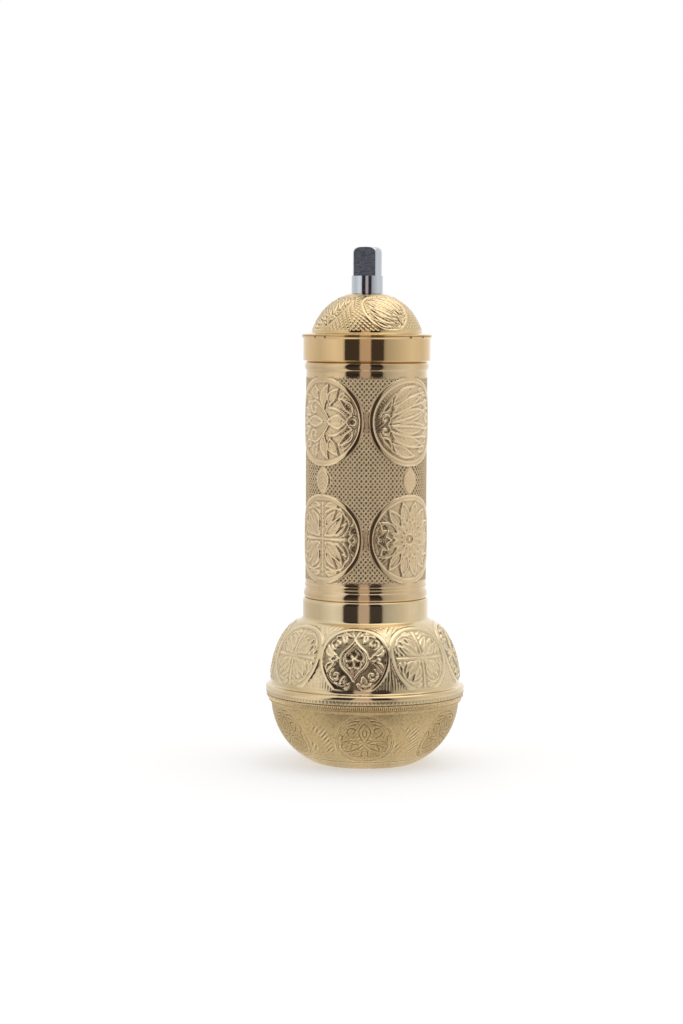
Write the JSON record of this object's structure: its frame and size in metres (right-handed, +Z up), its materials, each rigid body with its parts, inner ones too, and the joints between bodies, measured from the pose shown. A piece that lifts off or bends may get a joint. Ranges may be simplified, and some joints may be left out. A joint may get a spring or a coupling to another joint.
{
  "type": "turkish coffee grinder",
  "caption": "Brass hand mill for Turkish coffee: domed lift-off lid over an embossed hopper tube, ball-shaped catch cup below, and a bare steel drive end with two flats for a crank.",
  "frame": {"origin": "centre of the flat base under the catch cup", "axes": "+Z up along the drive shaft; -Y towards the viewer of the picture"},
  "size_m": [0.0698, 0.0698, 0.18],
  "materials": {
    "embossed_brass": "embossed, satin, darker in the recesses",
    "polished_brass": "polished",
    "bowl_brass": "engraved, satin",
    "bright_steel": "turned, lightly plated",
    "cast_iron": "cast, dark"
  },
  "bodies": {
    "cup": {"catch_cup": "bowl_brass", "cup_collar": "bowl_brass"},
    "mill": {"ball_shell": "embossed_brass", "hopper_tube": "embossed_brass", "upper_spider": "cast_iron", "spider_bush": "polished_brass", "burr_carrier": "cast_iron", "burr_ring": "cast_iron", "ring_screws": "bright_steel", "lower_bridge": "bright_steel", "bridge_screws": "bright_steel", "return_spring": "bright_steel"},
    "lid": {"lid_dome": "polished_brass", "lid_skirt": "polished_brass"},
    "thrust": {"thrust_ball": "bright_steel"},
    "adjuster": {"adjusting_screw": "bright_steel", "adjusting_knob": "polished_brass"},
    "drive": {"drive_shaft": "bright_steel", "grinding_cone": "cast_iron", "drive_pin": "bright_steel", "cone_washer": "bright_steel", "cone_nut": "bright_steel", "spring_washer": "bright_steel", "spring_clip": "bright_steel"}
  },
  "joints": [
    {"name": "mill_lift", "type": "slide", "parent": "cup", "child": "mill", "axis": [0, 0, 1], "range_m": [0, 0.05]},
    {"name": "lid_lift", "type": "slide", "parent": "mill", "child": "lid", "axis": [0, 0, 1], "range_m": [0, 0.045]},
    {"name": "burr_lift", "type": "slide", "parent": "mill", "child": "thrust", "axis": [0, 0, 1], "range_m": [-0.00125, 0.00125], "deforming": ["return_spring"]},
    {"name": "adjust_turn", "type": "hinge", "parent": "thrust", "child": "adjuster", "pos_m": [0, 0, 0.042], "axis": [0, 0, 1], "range_deg": [-360, 360]},
    {"name": "shaft_spin", "type": "hinge", "parent": "thrust", "child": "drive", "pos_m": [0, 0, 0.135], "axis": [0, 0, 1], "continuous": true}
  ],
  "couplings": [
    {"joint": "adjust_turn", "follows": "burr_lift", "rad_per_m": 5026.5}
  ]
}
